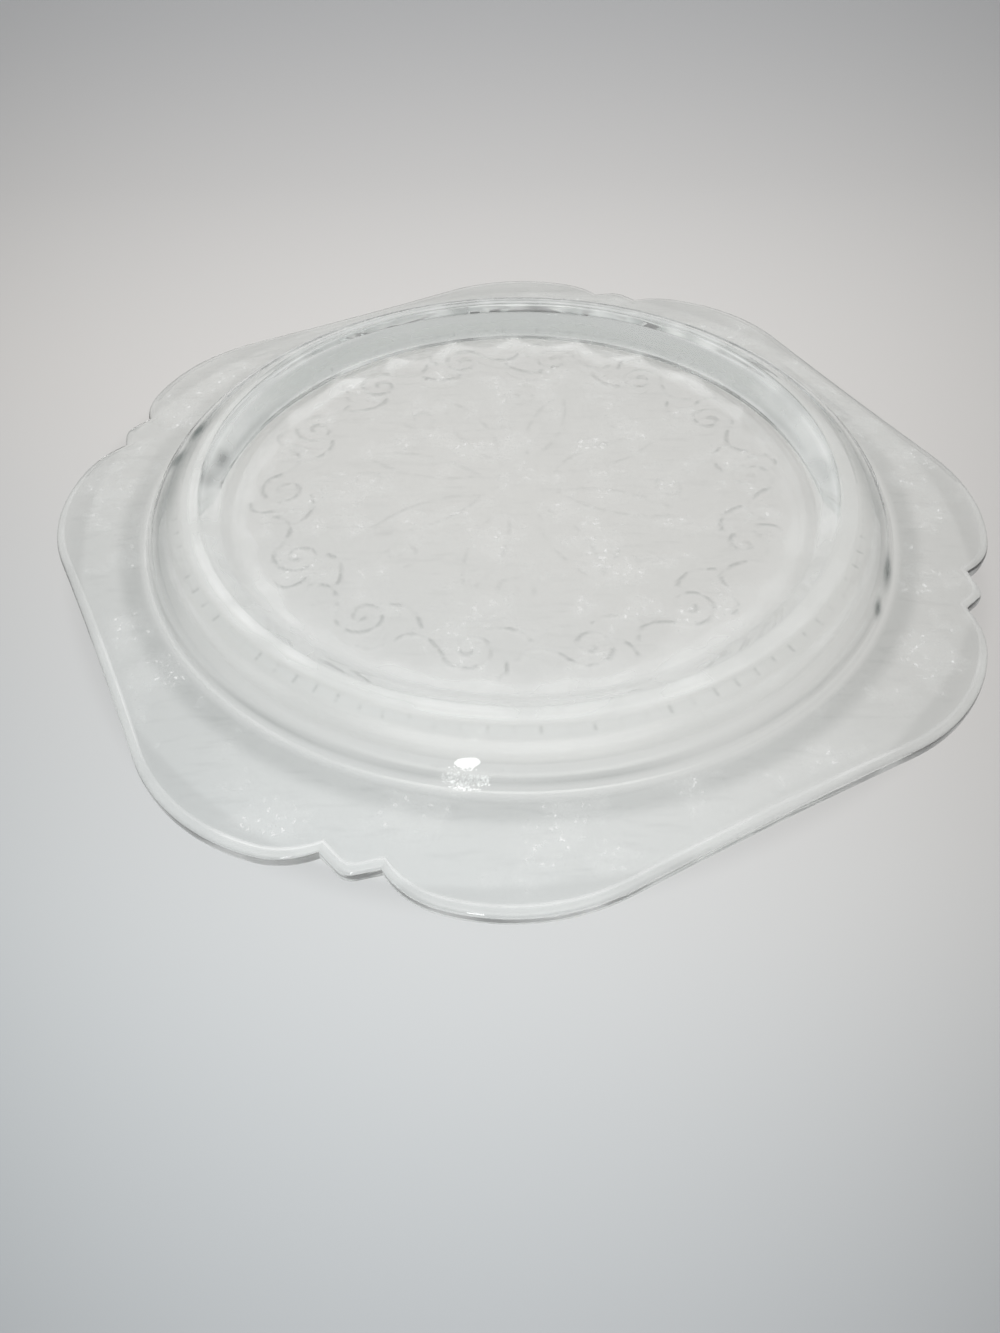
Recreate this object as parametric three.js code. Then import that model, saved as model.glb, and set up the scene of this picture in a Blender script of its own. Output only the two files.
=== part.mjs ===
// Dinner plate of clear pressed glass with a four-sided rim and a round well, lying face down on its rim.
// Millimetres, +Z up. The origin is on the resting plane, under the middle of the plate.
// The sides of the rim are square to X and Y, and its corner tabs point along the diagonals.
import * as THREE from 'three';

// Outline of the rim
const SIDE_TO_SIDE = 255.6; // between the middles of two opposite sides
const SIDE_SWEEP_RADIUS = 1900; // each side is very slightly hollow
const LOBE_RADIUS = 55; // the rounded lobes left and right of each corner tab
const LOBE_SPREAD = 45.2; // between the outermost points of a corner's two lobes
const NOTCH_DEPTH = 5.3; // from the outermost points of the lobes in to the notches
const NOTCH_SPREAD = 15.2; // between the two notches of a corner
const TAB_HEIGHT = 3.5; // tip of the tab beyond its notches
const TAB_TIP_RADIUS = 5;

// Section of the rim
const EDGE_HEIGHT = 3.4; // upright part of the edge, from the table to the bevel
const BEVEL_RUN = 3.8; // sloped band along the edge, on the back of the plate
const BEVEL_RISE = 1.3;
const LAND_WIDTH = 1.6; // flat of the edge that touches the table when the plate lies face down
const RIM_RISE = 2.5; // from the bevel up to the well, on the back of the plate
const RIM_THICKNESS = 4; // where the rim joins the wall

// Section of the well
const HEIGHT = 18.8; // from the resting plane to the face of the foot ring
const WELL_RADIUS = 109; // where the rim meets the wall, on the back of the plate
const KNEE_RUN = 2.8; // the wall's steep lower part leans in by this much
const SHOULDER_RUN = 5.6; // the wall's gentler upper part leans in by this much
const SHOULDER_RISE = 3.8; // height of the wall's upper part
const FOOT_STEP = 1.6; // foot ring proud of the shoulder
const SHELF_WIDTH = 2.4; // nearly flat ledge between the shoulder and the foot ring
const SHELF_RISE = 0.5;
const FOOT_FLANK = 1.8; // lean of the foot ring's outer side
const FOOT_WIDTH = 3.6; // face of the foot ring, on which the plate stands in use
const RECESS_RUN = 9; // slope from the foot ring down to the recessed panel
const RECESS_DEPTH = 7; // panel below the face of the foot ring
const PANEL_THICKNESS = 3.2;
const FLOOR_MARGIN = 6.5; // from the well's radius in to the flat eating surface
const FACE_WALL_RUN = 4; // slope of the eating side from its flat floor out to the rim

// Roundings of the section, each as the length that it takes off the two lines of its corner
const HEEL_ROUNDING = 1.1; // lower corner of the edge
const BEVEL_ROUNDING = 1.2;
const JUNCTION_ROUNDING = 1.4;
const KNEE_ROUNDING = 3;
const SHOULDER_ROUNDING = 1.8;
const FOOT_ROUNDING = 1.1;
const BROW_ROUNDING = 1; // inner edge of the foot ring
const PANEL_ROUNDING = 6;
const FACE_ROUNDING = 2; // the corners of the eating surface
const LARGEST_SHARE_OF_A_LINE = 0.45; // a rounding takes no more than this of a line beside it

// Facets along each curve
const TIP_FACETS = 2;
const NOTCH_FACETS = 4;
const LOBE_FACETS = 6;
const SIDE_FACETS = 4;
const EDGE_FACETS = 2;
const WIDE_ROUNDING_FACETS = 3;
const SMALL_ROUNDING_FACETS = 1;

const CORNERS = 4;
const QUARTER_TURN = (2 * Math.PI) / CORNERS;

// Half of a corner of the outline, from the tip of the tab to the middle of a side.
// Its x axis is the plate's diagonal. The tab and its notches are cut into a corner that runs straight from
// lobe to lobe, and the rim rises inwards, so the edge is lifted there by the depth of the cut.
function halfCorner() {
  const sweepCentre = new THREE.Vector2(1, 1).setLength(SIDE_TO_SIDE / 2 + SIDE_SWEEP_RADIUS);
  const lobeY = LOBE_SPREAD / 2;
  const lobeX =
    sweepCentre.x - Math.sqrt((SIDE_SWEEP_RADIUS + LOBE_RADIUS) ** 2 - (sweepCentre.y - lobeY) ** 2);
  const lobeReach = lobeX + LOBE_RADIUS;
  const notch = new THREE.Vector2(lobeReach - NOTCH_DEPTH, NOTCH_SPREAD / 2);

  // The tip is round, and straight flanks run from it to the notches.
  const tipX = notch.x + TAB_HEIGHT - TAB_TIP_RADIUS;
  const fromTip = notch.clone().sub(new THREE.Vector2(tipX, 0));
  const flankAngle = fromTip.angle() - Math.acos(TAB_TIP_RADIUS / fromTip.length());
  const tip = new THREE.ArcCurve(tipX, 0, TAB_TIP_RADIUS, 0, flankAngle);

  // A tighter curve carries the lobe from its outermost point in to the notch.
  const notchDrop = lobeY - notch.y;
  const notchRadius = (NOTCH_DEPTH ** 2 + notchDrop ** 2) / (2 * NOTCH_DEPTH);
  const notchAngle = Math.atan2(-notchDrop, notchRadius - NOTCH_DEPTH);
  const notchCurve = new THREE.ArcCurve(lobeReach - notchRadius, lobeY, notchRadius, notchAngle, 0);

  const toSweep = sweepCentre.clone().sub(new THREE.Vector2(lobeX, lobeY)).angle();
  const lobe = new THREE.ArcCurve(lobeX, lobeY, LOBE_RADIUS, 0, toSweep);
  const sideStart = toSweep + Math.PI;
  const sideMiddle = QUARTER_TURN / 2 + Math.PI;
  const { x: sweepX, y: sweepY } = sweepCentre;
  const side = new THREE.ArcCurve(sweepX, sweepY, SIDE_SWEEP_RADIUS, sideStart, sideMiddle, true);

  const cut = [...tip.getPoints(TIP_FACETS), ...notchCurve.getPoints(NOTCH_FACETS)];
  const whole = [...lobe.getPoints(LOBE_FACETS).slice(1), ...side.getPoints(SIDE_FACETS).slice(1)];
  const liftOf = (point) => {
    const uncutReach = (point.length() * lobeReach) / point.x;
    return (RIM_RISE * (uncutReach - point.length())) / (uncutReach - WELL_RADIUS);
  };
  return [
    ...cut.map((point) => ({ reach: point.length(), angle: point.angle(), lift: liftOf(point) })),
    ...whole.map((point) => ({ reach: point.length(), angle: point.angle(), lift: 0 })),
  ];
}

// The whole outline, anticlockwise, with a tab on each diagonal.
function rimOutline() {
  const half = halfCorner();
  const mirrored = half
    .slice(1, -1)
    .reverse()
    .map((point) => ({ ...point, angle: -point.angle }));
  const corner = [...mirrored, ...half];
  return Array.from({ length: CORNERS }, (_, turn) =>
    corner.map((point) => ({ ...point, angle: point.angle + (turn + 0.5) * QUARTER_TURN })),
  ).flat();
}

// A line of the section with its corners rounded. Each corner is { radius, z, rounding, facets }.
function roundedLine(corners) {
  const places = corners.map((corner) => new THREE.Vector2(corner.radius, corner.z));
  return corners.flatMap(({ rounding, facets }, index) => {
    const here = places[index];
    if (!rounding) {
      return [here];
    }
    const [before, after] = [places[index - 1], places[index + 1]].map((neighbour) => {
      const line = neighbour.clone().sub(here);
      return line.setLength(Math.min(rounding, line.length() * LARGEST_SHARE_OF_A_LINE)).add(here);
    });
    return new THREE.QuadraticBezierCurve(before, here, after).getPoints(facets);
  });
}

// Corners that several lines of the section share
const bevelTop = EDGE_HEIGHT + BEVEL_RISE;
const junction = { radius: WELL_RADIUS, z: bevelTop + RIM_RISE };
const shoulder = { radius: WELL_RADIUS - KNEE_RUN - SHOULDER_RUN, z: HEIGHT - FOOT_STEP };
const knee = { radius: WELL_RADIUS - KNEE_RUN, z: shoulder.z - SHOULDER_RISE };
const footRoot = { radius: shoulder.radius - SHELF_WIDTH, z: shoulder.z + SHELF_RISE };
const footOuter = { radius: footRoot.radius - FOOT_FLANK, z: HEIGHT };
const footInner = { radius: footOuter.radius - FOOT_WIDTH, z: HEIGHT };
const panel = { radius: footInner.radius - RECESS_RUN, z: HEIGHT - RECESS_DEPTH };

// The back of the plate, from the rim up the wall, over the shelf and the foot ring and down to the panel.
function backSection() {
  const wide = { facets: WIDE_ROUNDING_FACETS };
  const small = { facets: SMALL_ROUNDING_FACETS };
  const line = roundedLine([
    { radius: SIDE_TO_SIDE / 2, z: bevelTop },
    { ...junction, ...wide, rounding: JUNCTION_ROUNDING },
    { ...knee, ...wide, rounding: KNEE_ROUNDING },
    { ...shoulder, ...wide, rounding: SHOULDER_ROUNDING },
    { ...footRoot, ...small, rounding: FOOT_ROUNDING },
    { ...footOuter, ...small, rounding: FOOT_ROUNDING },
    { ...footInner, ...small, rounding: BROW_ROUNDING },
    { ...panel, ...wide, rounding: PANEL_ROUNDING },
    { radius: 0, z: panel.z },
  ]);
  return line.slice(1, -1);
}

// The eating surface, from the middle of the well out to the rim. It is flat under the foot ring, so the ring is
// the thickest part of the glass.
function faceSection() {
  const face = { rounding: FACE_ROUNDING, facets: WIDE_ROUNDING_FACETS };
  const floorZ = panel.z - PANEL_THICKNESS;
  const floorRadius = WELL_RADIUS - FLOOR_MARGIN;
  const line = roundedLine([
    { radius: 0, z: floorZ },
    { radius: floorRadius, z: floorZ, ...face },
    { radius: floorRadius + FACE_WALL_RUN, z: junction.z - RIM_THICKNESS, ...face },
    { radius: SIDE_TO_SIDE / 2, z: 0 },
  ]);
  return { floorZ, line: line.slice(1, -1) };
}

// The edge from its resting land up over the bevel to the back. The radius is the distance in from the outline.
function edgeSection() {
  return roundedLine([
    { radius: HEEL_ROUNDING + LAND_WIDTH, z: 0 },
    { radius: 0, z: 0, rounding: HEEL_ROUNDING, facets: EDGE_FACETS },
    { radius: 0, z: EDGE_HEIGHT, rounding: BEVEL_ROUNDING, facets: EDGE_FACETS },
    { radius: BEVEL_RUN, z: bevelTop },
  ]);
}

// One closed skin from a bottom point through a stack of rings, which share their count, to a top point.
function skinThrough(bottom, rings, top) {
  const count = rings[0].length;
  const points = [bottom, ...rings.flat(), top];
  const ringPoint = (ring, step) => 1 + ring * count + (step % count);
  const last = points.length - 1;
  const triangles = [];
  for (let step = 0; step < count; step += 1) {
    triangles.push(0, ringPoint(0, step + 1), ringPoint(0, step));
    for (let ring = 0; ring + 1 < rings.length; ring += 1) {
      const [a, b] = [ringPoint(ring, step), ringPoint(ring, step + 1)];
      const [c, d] = [ringPoint(ring + 1, step), ringPoint(ring + 1, step + 1)];
      triangles.push(a, b, d, a, d, c);
    }
    triangles.push(last, ringPoint(rings.length - 1, step), ringPoint(rings.length - 1, step + 1));
  }
  const geometry = new THREE.BufferGeometry().setFromPoints(points);
  geometry.setIndex(triangles);
  geometry.computeVertexNormals();
  return geometry;
}

// The plate: round rings in the well and rings that follow the outline at the edge, in one skin.
function plateGeometry() {
  const outline = rimOutline();
  const place = (radius, angle, z) =>
    new THREE.Vector3(radius * Math.cos(angle), radius * Math.sin(angle), z);
  const roundRing = ({ x: radius, y: z }) => outline.map(({ angle }) => place(radius, angle, z));
  const edgeRing = ({ x: inset, y: z }) =>
    outline.map(({ reach, angle, lift }) => place(reach - inset, angle, z + lift));
  const face = faceSection();
  const rings = [
    ...face.line.map(roundRing),
    ...edgeSection().map(edgeRing),
    ...backSection().map(roundRing),
  ];
  return skinThrough(new THREE.Vector3(0, 0, face.floorZ), rings, new THREE.Vector3(0, 0, panel.z));
}

const clearGlass = new THREE.MeshStandardMaterial({
  color: 0xdde6e2,
  roughness: 0.05,
  metalness: 0,
  transparent: true,
  opacity: 0.35,
});

const plate = new THREE.Mesh(plateGeometry(), clearGlass);
plate.name = 'plate';

const dinnerPlate = new THREE.Group();
dinnerPlate.add(plate);

export default dinnerPlate;
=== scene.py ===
"""Dress a clear pressed-glass dinner plate that lies face down on a pale table.

Everything is in metres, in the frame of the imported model: z = 0 is the table, the plate's axis is Z,
the sides of its rim are square to X and Y and its corner tabs point along the diagonals.
"""

from __future__ import annotations

import logging
import math
from collections.abc import Iterable, Sequence
from dataclasses import dataclass, field
from enum import Enum
from typing import Any

import bpy
import numpy as np
from mathutils import Matrix, Vector

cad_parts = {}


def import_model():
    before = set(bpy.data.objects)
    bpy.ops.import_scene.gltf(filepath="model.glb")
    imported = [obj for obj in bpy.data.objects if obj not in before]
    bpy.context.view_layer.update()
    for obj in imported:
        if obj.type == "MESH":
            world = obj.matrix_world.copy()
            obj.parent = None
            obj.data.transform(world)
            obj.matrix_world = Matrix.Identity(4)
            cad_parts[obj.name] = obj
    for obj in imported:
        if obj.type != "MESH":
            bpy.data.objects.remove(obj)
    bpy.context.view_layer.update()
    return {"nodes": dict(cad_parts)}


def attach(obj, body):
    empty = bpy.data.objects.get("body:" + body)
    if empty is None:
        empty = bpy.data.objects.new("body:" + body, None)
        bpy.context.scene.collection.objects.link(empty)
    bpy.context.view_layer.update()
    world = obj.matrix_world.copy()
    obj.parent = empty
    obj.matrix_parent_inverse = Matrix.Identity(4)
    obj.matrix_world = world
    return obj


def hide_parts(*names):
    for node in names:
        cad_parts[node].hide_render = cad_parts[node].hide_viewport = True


LOG = logging.getLogger("dinner_plate")
MM = 0.001
MOST_ROUNDED = 0.45
MATCHED_DIGITS = 7
PLATE_NODE = "plate"
BODY = "root"
BACK_MASK = "back"
# Mesh maps: a painted sheen for highlights and reflections, painted shade, mottle with painted glints,
# painted dark spots, and painted shade along the ornament's ridges.
SHEEN = "painted_sheen"
SHADE = "shade"
MOTTLE_AND_GLINTS = "mottle_and_glints"
PAINTED_DARK_SPOTS = "speck"
RIDGE_SHADE = "stroke"

Array = np.ndarray
Node = bpy.types.Node
Socket = bpy.types.NodeSocket
Colour = tuple[float, float, float]
Point = tuple[float, float, float]
Span = tuple[float, float]
Band = tuple[float, float, float, float]


class Maths(Enum):
    """Operations of a Math node that the expressions use."""

    ADD = "ADD"
    SUBTRACT = "SUBTRACT"
    MULTIPLY = "MULTIPLY"
    DIVIDE = "DIVIDE"
    MAXIMUM = "MAXIMUM"
    ABSOLUTE = "ABSOLUTE"
    POWER = "POWER"


class Zone(Enum):
    """How many points a ring of the plate's mesh has."""

    EYE = 100
    MIDDLE = 200
    FIELD = 400
    BORDER = 800


class Side(Enum):
    """Sides of the plate as the camera sees it, as turns from the front."""

    FRONT = 0.0
    RIGHT = math.pi / 2
    FAR = math.pi
    LEFT = -math.pi / 2


@dataclass(frozen=True)
class Value:
    """A number socket of a node tree that can be used in Python expressions."""

    graph: Graph
    socket: Socket

    def _join(self, operation: Maths, first: Any, second: Any) -> Value:
        """Add a Math node on two values or numbers."""
        node = self.graph.add("ShaderNodeMath", {0: first, 1: second}, operation=operation.value)
        return self.graph.value(node)

    def __add__(self, other: Any) -> Value:
        """This value plus another."""
        return self._join(Maths.ADD, self, other)

    def __sub__(self, other: Any) -> Value:
        """This value less another."""
        return self._join(Maths.SUBTRACT, self, other)

    def __rsub__(self, other: Any) -> Value:
        """Another value less this one."""
        return self._join(Maths.SUBTRACT, other, self)

    def __mul__(self, other: Any) -> Value:
        """This value times another."""
        return self._join(Maths.MULTIPLY, self, other)

    def __truediv__(self, other: Any) -> Value:
        """This value divided by another."""
        return self._join(Maths.DIVIDE, self, other)

    def __pow__(self, exponent: float) -> Value:
        """Power of this value."""
        return self._join(Maths.POWER, self, exponent)

    def size(self) -> Value:
        """This value without its sign."""
        return self._join(Maths.ABSOLUTE, self, 0.0)

    def larger_of(self, other: Any) -> Value:
        """The larger of this value and another."""
        return self._join(Maths.MAXIMUM, self, other)

    def step(self, start: Any, end: Any) -> Value:
        """Smooth step from 0 at one value to 1 at another."""
        limits = {"Value": self, "From Min": start, "From Max": end, "To Min": 0.0, "To Max": 1.0}
        node = self.graph.add("ShaderNodeMapRange", limits, interpolation_type="SMOOTHSTEP")
        return self.graph.value(node)


@dataclass(frozen=True)
class Graph:
    """A node tree, shader or geometry, with one method that makes any node."""

    tree: bpy.types.NodeTree

    def add(self, kind: str, inputs: dict[int | str, Any] | None = None, **settings: Any) -> Node:
        """Make a node.

        Args:
            kind: The node's type.
            inputs: Value, socket, node or number for each of its inputs, by name or place.
            **settings: Properties of the node, set before its inputs.

        Returns:
            The new node.
        """
        node = self.tree.nodes.new(kind)
        for name, setting in settings.items():
            setattr(node, name, setting)
        for place, given in (inputs or {}).items():
            self.feed(node.inputs[place], given)
        return node

    def feed(self, socket: Socket, given: Any) -> None:
        """Link or set one input.

        Args:
            socket: The input.
            given: A Value, a socket, a node whose first output is meant, or a plain value.
        """
        if isinstance(given, Value):
            given = given.socket
        if isinstance(given, Node):
            given = given.outputs[0]
        if isinstance(given, Socket):
            self.tree.links.new(given, socket)
        else:
            socket.default_value = given

    def value(self, node: Node, output: int | str = 0) -> Value:
        """One output of a node, for use in expressions."""
        return Value(self, node.outputs[output])

    def along(self, place: Any, axis: Sequence[float]) -> Value:
        """How far a place lies along an axis."""
        node = self.add("ShaderNodeVectorMath", {0: place, 1: tuple(axis)}, operation="DOT_PRODUCT")
        return self.value(node, "Value")

    def noise(self, place: Any, size: float, detail: float) -> Value:
        """Noise with features of about a given size, in metres."""
        node = self.add("ShaderNodeTexNoise", {"Vector": place, "Scale": 1 / size, "Detail": detail})
        return self.value(node, "Fac")

    def blend(self, factor: Any, first: Any, second: Any, kind: str = "MIX") -> Socket:
        """Colour between two colours, or their sum."""
        mix = self.add("ShaderNodeMix", data_type="RGBA", blend_type=kind)
        for name, given in (("Factor", factor), ("A", first), ("B", second)):
            self.feed(mix.inputs[name], (*given, 1.0) if isinstance(given, tuple) else given)
        return mix.outputs["Result"]


def add_object(name: str, data: bpy.types.ID) -> bpy.types.Object:
    """Put a mesh, a lamp or a camera into the scene as an object."""
    piece = bpy.data.objects.new(name, data)
    bpy.context.scene.collection.objects.link(piece)
    return piece


def blank_material(name: str) -> tuple[bpy.types.Material, Graph]:
    """Make an empty node material.

    Args:
        name: The material's name.

    Returns:
        The material and its node graph.
    """
    material = bpy.data.materials.new(name)
    material.use_nodes = True
    material.node_tree.nodes.clear()
    return material, Graph(material.node_tree)


@dataclass(frozen=True)
class Patches:
    """Noise that is cut to soft patches, from a least strength up by a swing."""

    size: float
    detail: float
    reach: Span
    swing: float = 1.0
    least: float = 0.0

    def value(self, graph: Graph, place: Any) -> Value:
        """Strength of the patches at a place."""
        return graph.noise(place, self.size, self.detail).step(*self.reach) * self.swing + self.least


@dataclass(frozen=True)
class PressedGlass:
    """Clear fire-polished glass with a faint green cast, a painted milky sheen for highlights and painted
    shade.
    """

    tint: Colour = (0.937, 0.951, 0.943)
    # Colour of the painted shade and the painted dark spots.
    shade_tint: Colour = (0.05, 0.075, 0.07)
    # Colour of the painted sheen, a matt white that stands in for highlights and reflections.
    sheen: Colour = (0.93, 0.945, 0.94)
    sheen_roughness: float = 0.5
    refraction: float = 1.5
    roughness: Patches = Patches(35 * MM, 3.0, (0.45, 0.8), swing=0.03, least=0.012)
    # Patches that break up the painted sheen.
    cloud: Patches = Patches(13 * MM, 1.0, (0.3, 0.7), swing=0.7, least=0.65)
    # Patches and specks of the mottle, painted glints where the mottle is doubled by the highlight.
    patch: Patches = Patches(13 * MM, 3.0, (0.44, 0.7))
    speck: Patches = Patches(1.4 * MM, 2.0, (0.58, 0.76), swing=0.6, least=0.1)
    # Patches that vary the painted shade along the ornament's ridges.
    stroke: Patches = Patches(5 * MM, 2.0, (0.42, 0.6), swing=0.4, least=0.05)
    streak: Patches = Patches(2.2 * MM, 3.0, (0.5, 0.75), swing=0.1)
    streak_stretch: float = 0.22
    streak_heading: float = math.radians(-27.1)
    wave_size: float = 18 * MM
    wave_height: float = 0.02 * MM
    wave_detail: float = 1.0
    sparkle_size: float = 0.9 * MM
    sparkle_height: float = 0.3 * MM
    depth_colour: Colour = (0.35, 0.7, 0.52)
    depth_density: float = 2.2

    def material(self) -> bpy.types.Material:
        """Build the glass.

        Returns:
            The material. Lamps shine through it, so the table under the plate stays lit.
        """
        material, graph = blank_material("pressed_glass")
        place = graph.add("ShaderNodeTexCoord").outputs["Object"]
        glass = graph.add(
            "ShaderNodeBsdfPrincipled",
            {
                "Base Color": graph.blend(self._shade(graph, place), self.tint, self.shade_tint),
                "Roughness": self.roughness.value(graph, place),
                "IOR": self.refraction,
                "Transmission Weight": 1.0,
                "Normal": self._ripple(graph, place),
            },
        )
        # Matt white for the painted sheen, matt dark for the painted dark spots.
        sheen_layer, dark = (self._solid(graph, colour) for colour in (self.sheen, self.shade_tint))
        with_sheen = graph.add("ShaderNodeMixShader", {0: self._sheen(graph, place), 1: glass, 2: sheen_layer})
        dressed = graph.add("ShaderNodeMixShader", {0: self._map(graph, PAINTED_DARK_SPOTS), 1: with_sheen, 2: dark})
        to_lamp = graph.add("ShaderNodeLightPath").outputs["Is Shadow Ray"]
        let_through = graph.add("ShaderNodeBsdfTransparent", {"Color": (1.0, 1.0, 1.0, 1.0)})
        surface = graph.add("ShaderNodeMixShader", {0: to_lamp, 1: dressed, 2: let_through})
        tinted = {"Color": (*self.depth_colour, 1.0), "Density": self.depth_density}
        depth = graph.add("ShaderNodeVolumeAbsorption", tinted)
        graph.add("ShaderNodeOutputMaterial", {"Surface": surface, "Volume": depth})
        return material

    def _solid(self, graph: Graph, colour: Colour) -> Node:
        """A matt shader in a given colour that lets no light through, for the painted sheen and the
        painted dark spots.
        """
        look = {"Base Color": (*colour, 1.0), "Roughness": self.sheen_roughness, "IOR": self.refraction}
        return graph.add("ShaderNodeBsdfPrincipled", look)

    @staticmethod
    def _map(graph: Graph, name: str) -> Value:
        """One of the maps that the plate's mesh carries."""
        return graph.value(graph.add("ShaderNodeAttribute", attribute_name=name), "Fac")

    def _sheen(self, graph: Graph, place: Socket) -> Value:
        """Strength of the painted sheen: the mesh's map, and mottles with brighter specks, painted glints
        by the highlight.
        """
        spots = self.patch.value(graph, place) * self.speck.value(graph, place)
        patchy_sheen = self._map(graph, SHEEN) * self.cloud.value(graph, place)
        return patchy_sheen + self._map(graph, MOTTLE_AND_GLINTS) * spots

    def _shade(self, graph: Graph, place: Socket) -> Value:
        """How dark the glass is: the mesh's painted shade, painted shade along the ornament's ridges and
        fine streaks.
        """
        cos, sin = math.cos(self.streak_heading), math.sin(self.streak_heading)
        drawn = graph.add(
            "ShaderNodeCombineXYZ",
            {
                "X": graph.along(place, (cos, sin, 0.0)) * self.streak_stretch,
                "Y": graph.along(place, (-sin, cos, 0.0)),
                "Z": graph.along(place, (0.0, 0.0, 1.0)),
            },
        )
        # Painted shade along the ornament's ridges, and fine streaks in the mottle.
        ridge_shading = self._map(graph, RIDGE_SHADE) * self.stroke.value(graph, place)
        streaks = self._map(graph, MOTTLE_AND_GLINTS) * self.streak.value(graph, drawn)
        return self._map(graph, SHADE).larger_of(ridge_shading) + streaks

    def _ripple(self, graph: Graph, place: Socket) -> Node:
        """Slow waves of pressed glass, and fine ones that sparkle near the highlight."""
        wave = graph.noise(place, self.wave_size, self.wave_detail) * self.wave_height
        fine = graph.noise(place, self.sparkle_size, self.wave_detail) * self.sparkle_height
        height = wave + (self._map(graph, MOTTLE_AND_GLINTS) - 1).larger_of(0.0) * fine
        return graph.add("ShaderNodeBump", {"Height": height, "Strength": 1.0, "Distance": 1.0})


@dataclass(frozen=True)
class TablePaper:
    """Matt pale paper under and behind the plate, with painted light falloff away from it and a painted
    shadow round it.
    """

    colour: Colour = (0.676, 0.663, 0.652)
    # Painted light falloff: a cooler colour towards the front, a dull colour away from the plate and
    # darker sides.
    front_light_colour: Colour = (0.611, 0.648, 0.669)
    falloff_shade_colour: Colour = (0.26, 0.271, 0.289)
    front_reach: Span = (-0.03, 0.28)
    front_slant: float = 0.5
    near_fade: Span = (0.12, 0.328)
    most_near_fade: float = 0.47
    away_fade: Span = (0.014, 0.606)
    side_middle: float = -0.0134
    side_reach: float = 0.165
    least_side_reach: float = 0.0825
    side_widening: float = 0.363
    side_fade: float = 0.24
    most_side_fade: float = 0.4
    # Painted shadow round the plate's rim.
    contact_reach: float = 127.3 * MM
    contact_squareness: float = 2.26
    contact_start: float = -2 * MM
    contact_width: float = 7 * MM
    contact_shade: float = 0.1
    roughness: float = 0.85
    shine: float = 0.2

    def material(self, turn: Matrix) -> bpy.types.Material:
        """Build the paper.

        Args:
            turn: Turn from the camera's heading to the plate's frame.

        Returns:
            The material.
        """
        material, graph = blank_material("table_paper")
        place = graph.add("ShaderNodeTexCoord").outputs["Object"]
        across = graph.along(place, turn @ Vector((1, 0, 0))) - self.side_middle
        away = graph.along(place, turn @ Vector((0, 1, 0)))
        near = away * -1
        # Painted light falloff: cooler towards the front, dull away from the plate, darker at the sides.
        cool = (near - across * self.front_slant).step(*self.front_reach)
        lit = graph.blend(cool, self.colour, self.front_light_colour)
        kept_near = (1 - near.step(*self.near_fade)).larger_of(1 - self.most_near_fade)
        fade = away.step(*self.away_fade).larger_of(1 - kept_near)
        falloff_shaded = graph.blend(fade, lit, self.falloff_shade_colour)
        reach = (away * self.side_widening + self.side_reach).larger_of(self.least_side_reach)
        left_at_side = (1 - (across / reach) ** 2 * self.side_fade).larger_of(1 - self.most_side_fade)
        # Painted shadow round the plate.
        contact = self._contact(graph, place) * self.contact_shade
        paper = graph.add(
            "ShaderNodeBsdfPrincipled",
            {
                "Base Color": graph.blend((1 - contact) * left_at_side, (0.0, 0.0, 0.0), falloff_shaded),
                "Roughness": self.roughness,
                "Specular IOR Level": self.shine,
            },
        )
        graph.add("ShaderNodeOutputMaterial", {"Surface": paper})
        return material

    def _contact(self, graph: Graph, place: Socket) -> Value:
        """Soft shade on the paper round the plate, whose rim is nearly a rounded square."""
        x, y = (graph.along(place, axis).size() / self.contact_reach for axis in ((1, 0, 0), (0, 1, 0)))
        power = self.contact_squareness
        outside = ((x**power + y**power) ** (1 / power) - 1) * self.contact_reach
        return outside.step(self.contact_start, 0.0) * (1 - outside.step(0.0, self.contact_width))


def arc(centre: Sequence[float], radius: float, start: float, end: float, steps: int) -> Array:
    """Points along a circular arc.

    Args:
        centre: The arc's centre.
        radius: Its radius.
        start: Angle of its first point, in radians.
        end: Angle of its last point.
        steps: Number of pieces it is cut into.

    Returns:
        Array of steps + 1 points.
    """
    angles = np.linspace(start, end, steps + 1)
    return np.asarray(centre) + radius * np.stack([np.cos(angles), np.sin(angles)], axis=1)


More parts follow.
